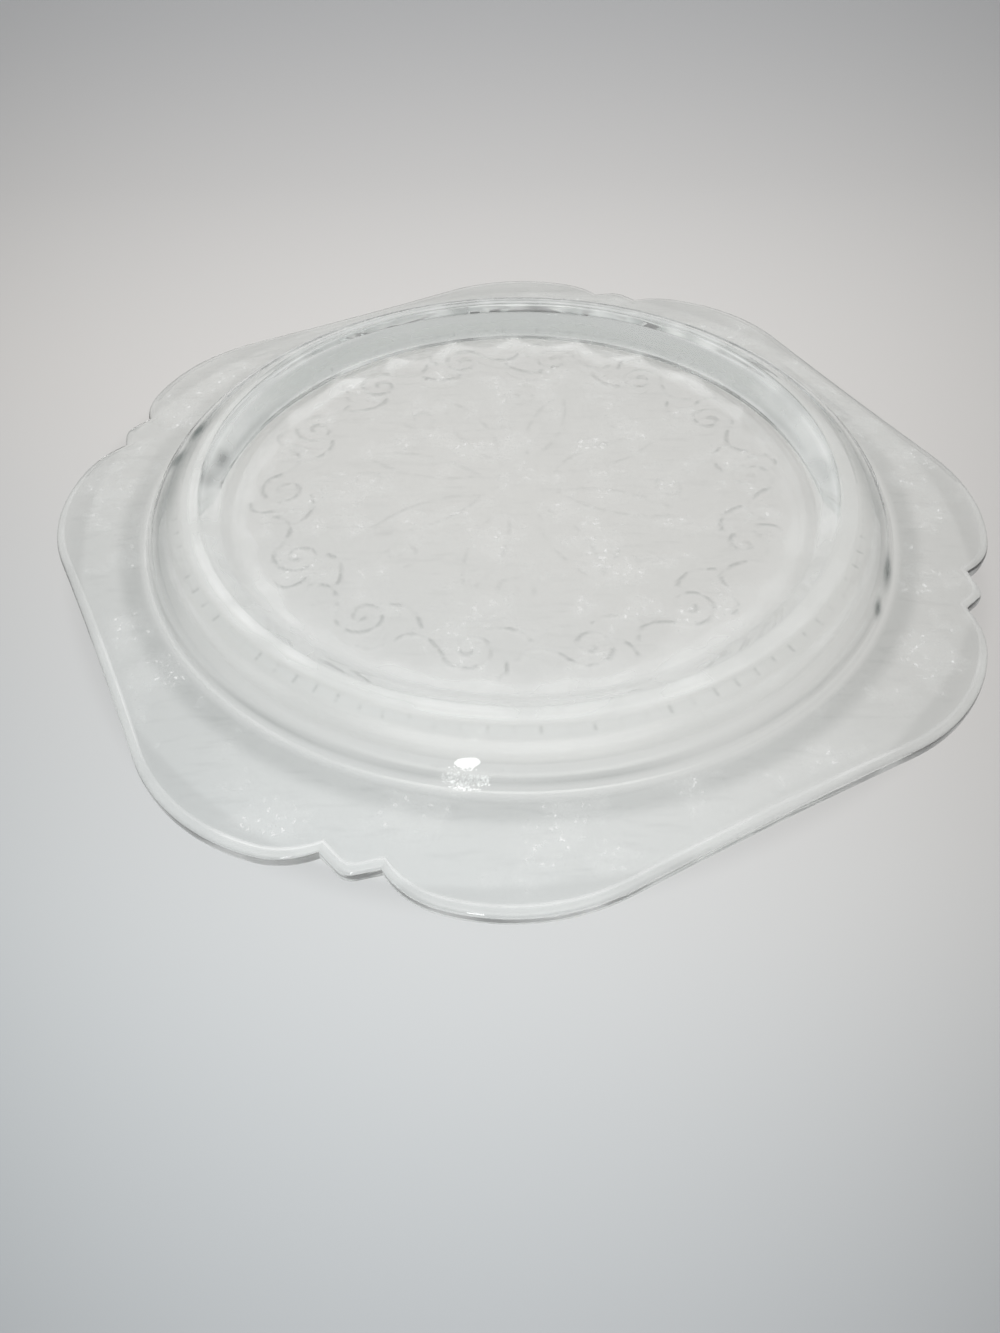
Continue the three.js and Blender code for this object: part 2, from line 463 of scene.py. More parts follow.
@dataclass(frozen=True)
class RimOutline:
    """Outline of the rim: four slightly hollow sides, and two lobes with a notched tab at each corner."""

    side_to_side: float = 255.6 * MM
    side_sweep_radius: float = 1900 * MM
    lobe_radius: float = 55 * MM
    lobe_spread: float = 45.2 * MM
    notch_depth: float = 5.3 * MM
    notch_spread: float = 15.2 * MM
    tab_height: float = 3.5 * MM
    tab_tip_radius: float = 5 * MM
    tip_steps: int = 4
    flank_steps: int = 3
    notch_steps: int = 9
    lobe_steps: int = 18
    side_steps: int = 16

    @property
    def sweep_centre(self) -> Array:
        """Centre of a side's hollow curve, in the frame of a corner whose x axis is the diagonal."""
        return np.full(2, (self.side_to_side / 2 + self.side_sweep_radius) * math.sqrt(0.5))

    @property
    def lobe_centre(self) -> Array:
        """Centre of the lobe on the left of the diagonal."""
        y = self.lobe_spread / 2
        reach = self.side_sweep_radius + self.lobe_radius
        return np.array([self.sweep_centre[0] - math.sqrt(reach**2 - (self.sweep_centre[1] - y) ** 2), y])

    @property
    def lobe_reach(self) -> float:
        """How far the lobes reach along the diagonal."""
        return float(self.lobe_centre[0] + self.lobe_radius)

    def half_corner(self) -> Array:
        """Outline from the tip of a tab to the middle of a side, in the corner's frame.

        Returns:
            Array of points, as many as the steps add up to, plus one.
        """
        notch = np.array([self.lobe_reach - self.notch_depth, self.notch_spread / 2])
        tip_centre = np.array([notch[0] + self.tab_height - self.tab_tip_radius, 0.0])
        from_tip = notch - tip_centre
        flank_angle = math.atan2(from_tip[1], from_tip[0]) - math.acos(
            self.tab_tip_radius / float(np.hypot(*from_tip))
        )
        tip = arc(tip_centre, self.tab_tip_radius, 0.0, flank_angle, self.tip_steps)
        flank = np.linspace(tip[-1], notch, self.flank_steps + 1)
        drop = self.lobe_centre[1] - notch[1]
        notch_radius = (self.notch_depth**2 + drop**2) / (2 * self.notch_depth)
        notch_angle = math.atan2(-drop, notch_radius - self.notch_depth)
        notch_centre = (self.lobe_reach - notch_radius, self.lobe_centre[1])
        into_notch = arc(notch_centre, notch_radius, notch_angle, 0.0, self.notch_steps)
        to_sweep = math.atan2(*(self.sweep_centre - self.lobe_centre)[::-1])
        lobe = arc(self.lobe_centre, self.lobe_radius, 0.0, to_sweep, self.lobe_steps)
        side = arc(
            self.sweep_centre, self.side_sweep_radius, to_sweep + math.pi, 1.25 * math.pi, self.side_steps
        )
        return np.concatenate([tip, flank[1:], into_notch[1:], lobe[1:], side[1:]])

    def points(self) -> Array:
        """The whole outline, anticlockwise, starting at the tab on the first diagonal.

        Returns:
            Array of points, the same number in each corner.
        """
        half = self.half_corner()
        mirrored = half[1:-1][::-1] * (1, -1)
        quarter = math.pi / 2
        turned = []
        for turn in range(4):
            for piece, angle in ((half, turn * quarter), (mirrored, (turn + 1) * quarter)):
                angle += quarter / 2
                spin = np.array([[math.cos(angle), math.sin(angle)], [-math.sin(angle), math.cos(angle)]])
                turned.append(piece @ spin)
        return np.concatenate(turned)

    def notch_places(self) -> list[int]:
        """Places of the eight notches in the outline."""
        half = self.tip_steps + self.flank_steps
        quarter = len(self.points()) // 4
        return [turn * quarter + offset for turn in range(4) for offset in (half, quarter - half)]

    def uncut_reach(self, angles: Array) -> Array:
        """Reach of the rim before the tabs and notches are cut into its corners.

        Args:
            angles: Directions from the plate's axis, in radians.

        Returns:
            Distance from the axis to the outline in each direction.
        """
        folded = np.abs(angles % (math.pi / 2) - math.pi / 4)
        ray = np.stack([np.cos(folded), np.sin(folded)], axis=-1)
        straight = self.lobe_reach / ray[..., 0]
        along = ray @ self.lobe_centre
        gap = np.maximum(self.lobe_radius**2 - self.lobe_centre @ self.lobe_centre + along**2, 0.0)
        lobe = along + np.sqrt(gap)
        along = ray @ self.sweep_centre
        gap = self.side_sweep_radius**2 - self.sweep_centre @ self.sweep_centre + along**2
        side = along - np.sqrt(np.maximum(gap, 0.0))
        to_sweep = self.sweep_centre - self.lobe_centre
        tangent = self.lobe_centre + to_sweep * (self.lobe_radius / np.hypot(*to_sweep))
        on_side = folded > math.atan2(tangent[1], tangent[0])
        on_corner = ray[..., 1] * straight < self.lobe_centre[1]
        return np.where(on_corner, straight, np.where(on_side, side, lobe))


@dataclass(frozen=True)
class Corner:
    """A corner of the plate's section, with the length that its rounding takes off each line beside it."""

    radius: float
    z: float
    rounding: float = 0.0


def rounded_line(corners: Sequence[Corner], steps: int) -> Array:
    """A line of the section with its corners rounded.

    Args:
        corners: The corners in order.
        steps: Number of pieces in each rounding.

    Returns:
        Array of radius and height of each point.
    """
    places = np.array([(corner.radius, corner.z) for corner in corners])
    line: list[Array] = []
    for index, corner in enumerate(corners):
        here = places[index]
        if not corner.rounding:
            line.append(here)
            continue
        ends = []
        for neighbour in (places[index - 1], places[index + 1]):
            reach = float(np.hypot(*(neighbour - here)))
            ends.append(here + (neighbour - here) * min(corner.rounding / reach, MOST_ROUNDED))
        for share in np.linspace(0.0, 1.0, steps + 1):
            line.append(
                ends[0] * (1 - share) ** 2 + here * (2 * share * (1 - share)) + ends[1] * share**2
            )
    return np.array(line)


def with_spacing(line: Array, spacing: float) -> Array:
    """Split the long pieces of a line.

    Args:
        line: Array of points.
        spacing: No piece stays longer than this.

    Returns:
        Array of the same line with more points.
    """
    pieces = [line[:1]]
    for start, end in zip(line[:-1], line[1:]):
        count = max(1, math.ceil(float(np.hypot(*(end - start))) / spacing))
        pieces.append(np.linspace(start, end, count + 1)[1:])
    return np.concatenate(pieces)


@dataclass(frozen=True)
class PlateSection:
    """Section of the plate, from its axis to its rim, as it lies face down.

    The back has a recessed panel, a steep rise to the foot ring, a narrow shelf outside the ring, and a
    wall in two slopes that meets the rim in a crisp line. The eating side is flat, so the ring is the
    thickest glass.
    """

    edge_height: float = 3.4 * MM
    bevel_run: float = 3.8 * MM
    bevel_rise: float = 1.3 * MM
    land_width: float = 1.6 * MM
    rim_rise: float = 2.5 * MM
    rim_thickness: float = 4 * MM
    rim_width: float = 24 * MM
    rim_lead: float = 10 * MM
    face_fall: float = 0.5
    height: float = 18.8 * MM
    well_radius: float = 109 * MM
    knee_run: float = 2.8 * MM
    shoulder_run: float = 5.6 * MM
    shoulder_rise: float = 3.8 * MM
    foot_step: float = 1.6 * MM
    shelf_width: float = 2.4 * MM
    shelf_rise: float = 0.5 * MM
    foot_flank: float = 1.8 * MM
    foot_width: float = 3.6 * MM
    recess_run: float = 9 * MM
    recess_depth: float = 7 * MM
    panel_thickness: float = 3.2 * MM
    floor_margin: float = 6.5 * MM
    face_wall_run: float = 4 * MM
    heel_rounding: float = 1.1 * MM
    bevel_rounding: float = 1.2 * MM
    junction_rounding: float = 1.4 * MM
    knee_rounding: float = 3 * MM
    shoulder_rounding: float = 1.8 * MM
    foot_rounding: float = 1.1 * MM
    brow_rounding: float = 1 * MM
    panel_rounding: float = 6 * MM
    face_rounding: float = 2 * MM
    rounding_steps: int = 8
    edge_steps: int = 5
    bevel_spacing: float = 0.45 * MM

    @property
    def junction(self) -> Corner:
        """Where the rim meets the wall, on the back of the plate."""
        return Corner(self.well_radius, self.rim_top + self.rim_rise, self.junction_rounding)

    @property
    def rim_top(self) -> float:
        """Height of the rim's back at the start of its bevel."""
        return self.edge_height + self.bevel_rise

    @property
    def knee(self) -> Corner:
        """Bend between the wall's two slopes."""
        return Corner(
            self.well_radius - self.knee_run, self.shoulder.z - self.shoulder_rise, self.knee_rounding
        )

    @property
    def shoulder(self) -> Corner:
        """Top of the wall."""
        radius = self.well_radius - self.knee_run - self.shoulder_run
        return Corner(radius, self.height - self.foot_step, self.shoulder_rounding)

    @property
    def foot_outer(self) -> float:
        """Outer radius of the foot ring's flat face."""
        return self.shoulder.radius - self.shelf_width - self.foot_flank

    @property
    def foot_inner(self) -> float:
        """Inner radius of the foot ring's flat face."""
        return self.foot_outer - self.foot_width

    @property
    def panel(self) -> Corner:
        """Edge of the recessed panel."""
        radius = self.foot_inner - self.recess_run
        return Corner(radius, self.height - self.recess_depth, self.panel_rounding)

    def back(self) -> Array:
        """Back of the plate from its axis to the start of the rim.

        Returns:
            Array of radius and height of each point.
        """
        shelf_z = self.shoulder.z + self.shelf_rise
        corners = [
            Corner(0.0, self.panel.z),
            self.panel,
            Corner(self.foot_inner, self.height, self.brow_rounding),
            Corner(self.foot_outer, self.height, self.foot_rounding),
            Corner(self.foot_outer + self.foot_flank, shelf_z, self.foot_rounding),
            self.shoulder,
            self.knee,
            self.junction,
            self.rim_start,
        ]
        return rounded_line(corners, self.rounding_steps)[:-1]

    @property
    def rim_start(self) -> Corner:
        """A place on the rim's back, just outside the wall."""
        fall = self.rim_rise * self.rim_lead / self.rim_width
        return Corner(self.well_radius + self.rim_lead, self.junction.z - fall)

    def face(self) -> Array:
        """Eating surface from the axis to the start of the rim.

        Returns:
            Array of radius and height of each point.
        """
        floor_z = self.panel.z - self.panel_thickness
        floor_radius = self.well_radius - self.floor_margin
        wall_foot_z = self.junction.z - self.rim_thickness
        corners = [
            Corner(0.0, floor_z),
            Corner(floor_radius, floor_z, self.face_rounding),
            Corner(floor_radius + self.face_wall_run, wall_foot_z, self.face_rounding),
            Corner(self.well_radius + self.rim_lead, wall_foot_z * self.face_fall),
        ]
        return rounded_line(corners, self.rounding_steps)[:-1]

    def edge(self) -> Array:
        """Bevelled edge from the back to the resting land.

        Returns:
            Array of distance in from the outline and height of each point.
        """
        corners = [
            Corner(self.bevel_run, self.rim_top),
            Corner(0.0, self.edge_height, self.bevel_rounding),
            Corner(0.0, 0.0, self.heel_rounding),
            Corner(self.heel_rounding + self.land_width, 0.0),
        ]
        line = rounded_line(corners, self.edge_steps)
        return np.concatenate([with_spacing(line[:2], self.bevel_spacing), line[2:]])


@dataclass(frozen=True)
class ScrollRelief:
    """Faint pressed ornament of the back.

    The panel has a border of running scrolls round a rosette, the rim has sprays, and a row of short
    strokes runs round the foot ring.
    """

    border_count: int = 14
    border_radius: float = 69 * MM
    scroll_radius: float = 7.5 * MM
    scroll_turns: float = 1.35
    scroll_turned: float = math.pi * 0.35
    scroll_eye: float = 0.14
    scroll_points: int = 26
    line_width: float = 1.1 * MM
    line_height: float = 0.3 * MM
    rosette_count: int = 8
    rosette_inner: float = 12 * MM
    rosette_outer: float = 46 * MM
    rosette_bow: float = 9 * MM
    rosette_curl: float = 6 * MM
    rosette_curl_turns: float = 1.1
    rosette_curl_turned: float = 2.2
    rosette_curl_eye: float = 0.2
    rosette_height: float = 0.16 * MM
    # Share of painted shade along the rosette's ridges.
    rosette_shade: float = 0.4
    spray_count: int = 16
    spray_radius: float = 121 * MM
    spray_size: float = 5.5 * MM
    spray_turns: float = 0.8
    spray_turned: float = 0.6
    spray_radii: Span = (0.25, 0.8)
    spray_points: int = 18
    spray_width: float = 1.9 * MM
    spray_height: float = 0.12 * MM
    mark_count: int = 100
    mark_radius: float = 99 * MM
    mark_length: float = 1.3 * MM
    mark_width: float = 0.9 * MM
    mark_height: float = 0.12 * MM
    # Share of painted shade along the marks.
    mark_shade: float = 0.8
    curve_points: int = 20

    @property
    def sizes(self) -> dict[str, float]:
        """The tree's named inputs."""
        return {
            "Line Width": self.line_width,
            "Line Height": self.line_height,
            "Rosette Height": self.rosette_height,
            "Spray Width": self.spray_width,
            "Spray Height": self.spray_height,
            "Mark Width": self.mark_width,
            "Mark Height": self.mark_height,
        }

    def press(self, plain: bpy.types.Object, glass: bpy.types.Material) -> bpy.types.Mesh:
        """Raise the ornament out of a plain plate.

        Args:
            plain: The plate without ornament.
            glass: Material that the result is given.

        Returns:
            The pressed mesh.
        """
        modifier = plain.modifiers.new("relief", "NODES")
        modifier.node_group = self.tree(glass)
        for socket in modifier.node_group.interface.items_tree:
            if socket.in_out == "INPUT" and socket.name in self.sizes:
                modifier[socket.identifier] = self.sizes[socket.name]
        evaluated = plain.evaluated_get(bpy.context.evaluated_depsgraph_get())
        pressed = bpy.data.meshes.new_from_object(evaluated)
        plain.modifiers.remove(modifier)
        return pressed

    def tree(self, glass: bpy.types.Material) -> bpy.types.NodeTree:
        """Build the geometry nodes that raise the ornament out of the plate's back.

        Args:
            glass: Material that the result is given.

        Returns:
            The node tree.
        """
        tree = bpy.data.node_groups.new("pressed_relief", "GeometryNodeTree")
        tree.interface.new_socket("Plate", in_out="INPUT", socket_type="NodeSocketGeometry")
        for name in self.sizes:
            tree.interface.new_socket(name, in_out="INPUT", socket_type="NodeSocketFloat")
        tree.interface.new_socket("Plate", in_out="OUTPUT", socket_type="NodeSocketGeometry")
        graph = Graph(tree)
        given = graph.add("NodeGroupInput")
        sizes = given.outputs
        border = self._ridge(graph, self._border(graph), sizes["Line Width"])
        rosette = self._ridge(graph, self._rosette(graph), sizes["Line Width"])
        spray = self._ridge(graph, self._sprays(graph), sizes["Spray Width"])
        marks = self._ridge(graph, self._marks(graph), sizes["Mark Width"])
        named = graph.add("GeometryNodeInputNamedAttribute", {"Name": BACK_MASK}, data_type="FLOAT")
        mask = graph.value(named, "Attribute")
        leaves = (border * sizes["Line Height"]).larger_of(rosette * sizes["Rosette Height"])
        height = leaves.larger_of(spray * sizes["Spray Height"]) - marks * sizes["Mark Height"]
        lift = graph.add("ShaderNodeCombineXYZ", {"Z": height * mask})
        raised = graph.add("GeometryNodeSetPosition", {"Geometry": sizes["Plate"], "Offset": lift})
        # Painted shade along the ornament's ridges, stored as a map for the glass.
        faint, dashes = rosette * self.rosette_shade, marks * self.mark_shade
        stroke = border.larger_of(faint).larger_of(dashes) * mask
        marked = graph.add(
            "GeometryNodeStoreNamedAttribute",
            {"Geometry": raised, "Name": RIDGE_SHADE, "Value": stroke},
            data_type="FLOAT",
            domain="POINT",
        )
        whole = graph.add("GeometryNodeRealizeInstances", {"Geometry": marked})
        dressed = graph.add("GeometryNodeSetMaterial", {"Geometry": whole, "Material": glass})
        graph.add("NodeGroupOutput", {"Plate": dressed})
        return tree

    @staticmethod
    def _ridge(graph: Graph, lines: Node, width: Socket) -> Value:
        """Profile of a soft ridge along flat lines.

        Args:
            graph: The tree's graph.
            lines: Node with the lines as mesh edges on the plane z = 0.
            width: Half the ridge's width.

        Returns:
            Share of the ridge's height at each point of the plate, 1 on the lines.
        """
        place = graph.add("ShaderNodeSeparateXYZ", {0: graph.add("GeometryNodeInputPosition")})
        flat = graph.add("ShaderNodeCombineXYZ", {"X": place.outputs["X"], "Y": place.outputs["Y"]})
        near = graph.add(
            "GeometryNodeProximity", {"Geometry": lines, "Sample Position": flat}, target_element="EDGES"
        )
        return 1 - graph.value(near, "Distance").step(0.0, width)

    @staticmethod
    def _round(graph: Graph, motif: Node, count: int, radius: float) -> Node:
        """Repeat a flat curve motif round the plate's axis.

        Args:
            graph: The tree's graph.
            motif: Node with the motif's curves. Its x axis points away from the plate's axis.
            count: Number of copies.
            radius: Distance of the motif's origin from the axis.

        Returns:
            Node with the copies as mesh edges.
        """
        ring = graph.add("GeometryNodeMeshCircle", {"Vertices": count, "Radius": radius}, fill_type="NONE")
        step = graph.value(graph.add("GeometryNodeInputIndex")) * (2 * math.pi / count)
        turn = graph.add("ShaderNodeCombineXYZ", {"Z": step})
        copies = graph.add(
            "GeometryNodeInstanceOnPoints", {"Points": ring, "Instance": motif, "Rotation": turn}
        )
        real = graph.add("GeometryNodeRealizeInstances", {"Geometry": copies})
        return graph.add("GeometryNodeCurveToMesh", {"Curve": real})

    @staticmethod
    def _moved(
        graph: Graph,
        curve: Node,
        x: float = 0.0,
        y: float = 0.0,
        turn: float = 0.0,
        flip: bool = False,
    ) -> Node:
        """Place a curve of a motif.

        Args:
            graph: The tree's graph.
            curve: Node with the curve.
            x: Shift outwards.
            y: Shift round the plate.
            turn: Turn, in radians.
            flip: True to mirror it across its own x axis.

        Returns:
            Node with the placed curve.
        """
        return graph.add(
            "GeometryNodeTransform",
            {
                "Geometry": curve,
                "Translation": (x, y, 0.0),
                "Rotation": (0.0, 0.0, turn),
                "Scale": (1.0, -1.0 if flip else 1.0, 1.0),
            },
        )

    @staticmethod
    def _joined(graph: Graph, curves: Iterable[Node]) -> Node:
        """Join curves into one motif."""
        join = graph.add("GeometryNodeJoinGeometry")
        for curve in curves:
            graph.tree.links.new(curve.outputs[0], join.inputs[0])
        return join

    def _bow(self, graph: Graph, points: Sequence[Span]) -> Node:
        """A bowed line through a start, a middle that pulls it, and an end."""
        start, middle, end = [(x, y, 0.0) for x, y in points]
        line = {"Resolution": self.curve_points, "Start": start, "Middle": middle, "End": end}
        return graph.add("GeometryNodeCurveQuadraticBezier", line)

    @staticmethod
    def _curl(graph: Graph, turns: float, radii: Span, points: int) -> Node:
        """A flat spiral from an inner to an outer radius."""
        inner, outer = radii
        spiral = {"Resolution": points, "Rotations": turns, "Start Radius": inner, "End Radius": outer}
        return graph.add("GeometryNodeCurveSpiral", {**spiral, "Height": 0.0})

    def _border(self, graph: Graph) -> Node:
        """Running scrolls with a tail, a leaf and a vein each, between two radii of the panel."""
        reach = self.scroll_radius
        pitch = 2 * math.pi * self.border_radius / self.border_count
        spiral = self._curl(graph, self.scroll_turns, (reach * self.scroll_eye, reach), self.scroll_points)
        bows = (
            [(reach * 0.5, -reach * 0.8), (-reach * 0.9, -pitch * 0.45), (0.0, -pitch * 0.62)],
            [(reach * 0.2, pitch * 0.3), (reach * 1.2, pitch * 0.42), (reach * 1.25, pitch * 0.2)],
            [(-reach * 1.0, pitch * 0.1), (-reach * 1.5, pitch * 0.3), (-reach * 0.7, pitch * 0.5)],
        )
        scroll = self._moved(graph, spiral, turn=self.scroll_turned)
        motif = self._joined(graph, [scroll, *(self._bow(graph, points) for points in bows)])
        return self._round(graph, motif, self.border_count, self.border_radius)

    def _rosette(self, graph: Graph) -> Node:
        """Long leaves round the middle of the panel, each with a curl past its tip."""
        length, bow = self.rosette_outer - self.rosette_inner, self.rosette_bow
        sides = [
            self._bow(graph, [(0.0, 0.0), (length * 0.45, side * bow), (length, side * bow * 0.2)])
            for side in (1.0, -1.0)
        ]
        radii = (self.rosette_curl * self.rosette_curl_eye, self.rosette_curl)
        curl = self._curl(graph, self.rosette_curl_turns, radii, self.curve_points)
        tip = self._moved(graph, curl, x=length * 0.95, y=bow * 1.3, turn=self.rosette_curl_turned)
        motif = self._joined(graph, [*sides, tip])
        return self._round(graph, motif, self.rosette_count, self.rosette_inner)

    def _sprays(self, graph: Graph) -> Node:
        """Small pairs of curls along the rim."""
        reach, turned = self.spray_size, self.spray_turned
        inner, outer = (reach * share for share in self.spray_radii)
        curl = self._curl(graph, self.spray_turns, (inner, outer), self.spray_points)
        pair = [
            self._moved(graph, curl, y=side * reach, turn=side * turned, flip=side < 0)
            for side in (1.0, -1.0)
        ]
        return self._round(graph, self._joined(graph, pair), self.spray_count, self.spray_radius)

    def _marks(self, graph: Graph) -> Node:
        """Row of short strokes round the outside of the foot ring."""
        half = self.mark_length / 2
        ends = {"Start": (-half, 0.0, 0.0), "End": (half, 0.0, 0.0)}
        stroke = graph.add("GeometryNodeCurvePrimitiveLine", ends)
        return self._round(graph, stroke, self.mark_count, self.mark_radius)


@dataclass(frozen=True)
class SoftLine:
    """A line that fades out on both sides."""

    place: float
    width: float

    def on(self, value: Array) -> Array:
        """Strength at each value, 1 on the line itself."""
        return np.exp(-(((value - self.place) / self.width) ** 2))


@dataclass(frozen=True)
class Uneven:
    """A strength that drifts between a least and a most value round the plate."""

    least: float
    most: float
    waves: tuple[int, int, int]
    phase: float

    def at(self, angle: Array) -> Array:
        """Strength in each direction."""
        waves = [np.sin(count * angle + self.phase * count) for count in self.waves]
        return self.least + (self.most - self.least) * (0.5 + 0.5 * np.mean(waves, axis=0))


@dataclass(frozen=True)
class SoftPatch:
    """A short soft patch on the glass, at a turn from the front, for the painted dark spots and the
    painted glints.
    """

    turn: float
    radius: float
    length: float
    width: float

    def on(self, radius: Array, turn: Array) -> Array:
        """Strength of the streak at each place, 1 in its middle."""
        apart = (turn - self.turn + math.pi) % (2 * math.pi) - math.pi
        along = SoftLine(0.0, self.length / 2).on(apart * self.radius)
        return along * SoftLine(self.radius, self.width).on(radius)


def soft_step(value: Array, start: Any, end: Any) -> Array:
    """Smooth step from 0 at one value to 1 at another."""
    share = np.clip((value - start) / (end - start), 0.0, 1.0)
    return share * share * (3 - 2 * share)


def soft_band(value: Array, limits: Sequence[Any]) -> Array:
    """Band that rises between the first two limits and falls between the last two."""
    return soft_step(value, *limits[:2]) * (1 - soft_step(value, *limits[2:]))


@dataclass(frozen=True)
class PaintedLightAndMottle:
    """Painted sheen for highlights and reflections, painted shade and mottle on the back of the glass.

    Every map is worked out from the distance from the axis, the angle, and the distance in from the
    rim's edge. Pairs of strengths are those at the front and at the far side.
    """

    front: float = math.radians(-90 - 27.11)
    facing_spread: float = 0.3
    least_left: float = 0.08
    least_front: float = 0.2
    # Strengths of the painted sheen, a milky white that stands in for highlights and reflections, band by
    # band.
    foot: Band = (92.1 * MM, 92.8 * MM, 94.4 * MM, 95.8 * MM)
    foot_sheen: Uneven = Uneven(0.132, 0.22, (2, 5, 9), 0.4)
    foot_far: float = 0.8
    margin: Span = (77.5 * MM, 83.2 * MM)
    margin_fade: Span = (1.3 * MM, 1.6 * MM)
    margin_sheen: Uneven = Uneven(0.204, 0.34, (3, 5, 13), 0.9)
    margin_left: float = 0.48
    margin_far: float = 0.5
    margin_front: float = 0.3
    margin_scallops: int = 23
    margin_bite: float = 2.8 * MM
    margin_widening: float = 4.5 * MM
    margin_pull: float = 4 * MM
    bite: Uneven = Uneven(0.3, 1.3, (3, 7, 11), 1.3)
    cast: Band = (70 * MM, 87 * MM, 96 * MM, 98 * MM)
    cast_sheen: Uneven = Uneven(0.168, 0.28, (3, 4, 10), 0.5)
    shoulder: SoftLine = SoftLine(102.4 * MM, 1 * MM)
    shoulder_sheen: Uneven = Uneven(0.084, 0.14, (3, 8, 17), 1.7)
    slope: Band = (86 * MM, 88.5 * MM, 91 * MM, 92.5 * MM)
    slope_sheen: Uneven = Uneven(0.18, 0.3, (3, 4, 7), 2.9)
    slope_sides: int = 8
    crest: Band = (90.4 * MM, 91.2 * MM, 92.6 * MM, 93.4 * MM)
    crest_sheen: Uneven = Uneven(0.264, 0.44, (2, 3, 5), 0.6)
    crest_sides: float = 0.3
    ledge: Band = (93 * MM, 95 * MM, 104 * MM, 106 * MM)
    ledge_sheen: Uneven = Uneven(0.228, 0.38, (2, 3, 7), 1.9)
    fold: SoftLine = SoftLine(81.9 * MM, 1.1 * MM)
    fold_sheen: Uneven = Uneven(0.24, 0.4, (2, 5, 8), 2.2)
    fold_drift: float = 5 * MM
    lace_depth: float = 7 * MM
    lobes: Band = (-7 * MM, -2.5 * MM, -1 * MM, 1.6 * MM)
    lobe_sheen: Uneven = Uneven(0.12, 0.2, (3, 4, 9), 1.4)
    # Painted shade along the wavy edge of the panel's far side.
    lace_notch: Span = (1.2 * MM, 1.5 * MM)
    lace_notch_shade: float = 0.24
    junction: SoftLine = SoftLine(109.4 * MM, 0.45 * MM)
    junction_sheen: Uneven = Uneven(0.132, 0.22, (2, 7, 12), 0.2)
    # Painted shade: a dark line on the wall by the junction, and a painted shadow band outside it.
    groove: SoftLine = SoftLine(107.8 * MM, 0.4 * MM)
    groove_shade: Uneven = Uneven(0.18, 0.6, (2, 9, 15), 0.7)
    groove_kept: Span = (1.0, 0.5)
    shadow_band: Band = (109.8 * MM, 112 * MM, 114.5 * MM, 119 * MM)
    shadow: Span = (0.34, 0.136)
    bevel: Band = (0.2 * MM, 0.7 * MM, 1.8 * MM, 2.4 * MM)
    bevel_sheen: Uneven = Uneven(0.096, 0.16, (2, 3, 7), 1.1)
    bevel_line: SoftLine = SoftLine(2.4 * MM, 0.35 * MM)
    bevel_line_sheen: Uneven = Uneven(0.3, 0.5, (2, 5, 11), 2.6)
    bevel_right_loss: float = 0.45
    edge: SoftLine = SoftLine(0.0, 0.25 * MM)
    edge_sheen: Uneven = Uneven(0.3, 0.5, (2, 9, 16), 0.8)
    # Painted shade along the outer edge, and dark streaks for the dark reflections on the wall's sides.
    edge_shadow: SoftLine = SoftLine(0.2 * MM, 0.5 * MM)
    edge_shade: Span = (0.2, 0.9)
    streak: SoftLine = SoftLine(101 * MM, 3.4 * MM)
    streak_drift: float = 9 * MM
    streak_shade: Uneven = Uneven(0.6, 0.82, (11, 19, 31), 0.3)
    streak_sides: int = 6
    streak_right_loss: float = 0.25
    rim_mottle: Span = (110 * MM, 113 * MM)
    edge_mottle: Span = (3 * MM, 6 * MM)
    panel_mottle: Span = (74 * MM, 79 * MM)
    panel_mottle_share: float = 0.8
    # Painted shade: dark spots that stand in for dark reflections on the wall's sides.
    dark_spot_shade: float = 0.75
    dark_reflection_spots: tuple[SoftPatch, ...] = (
        SoftPatch(math.radians(258), 100.1 * MM, 9 * MM, 2 * MM),
        SoftPatch(math.radians(265.5), 102.3 * MM, 7 * MM, 2 * MM),
        SoftPatch(math.radians(69), 107.6 * MM, 11 * MM, 1.3 * MM),
        SoftPatch(math.radians(61), 108 * MM, 5 * MM, 1 * MM),
    )
    # Where the mottle is doubled by the highlight, for painted glints and fine bumps.
    sparkle: SoftPatch = SoftPatch(math.radians(-8), 107.9 * MM, 18 * MM, 2 * MM)
    sparkle_mottle: float = 2.0

    def maps(self, radius: Array, angle: Array, inset: Array) -> dict[str, Array]:
        """Work out every map.

        Args:
            radius: Distance of each point from the axis.
            angle: Its direction from the axis, in radians.
            inset: Its distance in from the rim's edge.

        Returns:
            Strength at each point, by the name of the mesh attribute.
        """
        return {
            SHEEN: self._sheen(radius, angle, inset),
            SHADE: self._shade(radius, angle, inset),
            MOTTLE_AND_GLINTS: self._mottle(radius, angle, inset),
            PAINTED_DARK_SPOTS: self._specks(radius, angle),
        }

    def _facing(self, angle: Array, side: Side, least: float = 0.0) -> Array:
        """How much a place belongs to one side of the plate, from a least value to 1."""
        toward = np.cos(angle - self.front - side.value)
        return least + (1 - least) * np.clip(self.facing_spread + toward, 0.0, 1.0)

    @staticmethod
    def _between(ends: Span, share: Array) -> Array:
        """Strength between those at the front and at the far side."""
        return ends[0] + (ends[1] - ends[0]) * share

    def _bite(self, angle: Array) -> Array:
        """Depth of the scallops round the panel's margin, about 0 to 1."""
        return np.abs(np.sin(self.margin_scallops * angle / 2)) * self.bite.at(angle)

    def _lace(self, angle: Array) -> Array:
        """Radius of the wavy line where painted shade darkens the panel's far side."""
        return self.fold.place - self.lace_depth * self._bite(angle)

    def _margin(self, radius: Array, angle: Array, far: Array) -> Array:
        """Scalloped band along the panel's edge, wider at the far side."""
        inner = self.margin[0] + self.margin_bite * self._bite(angle) - self.margin_widening * far
        outer = self.margin[1] - self.margin_pull * far
        return soft_band(radius, (inner, inner + self.margin_fade[0], outer, outer + self.margin_fade[1]))

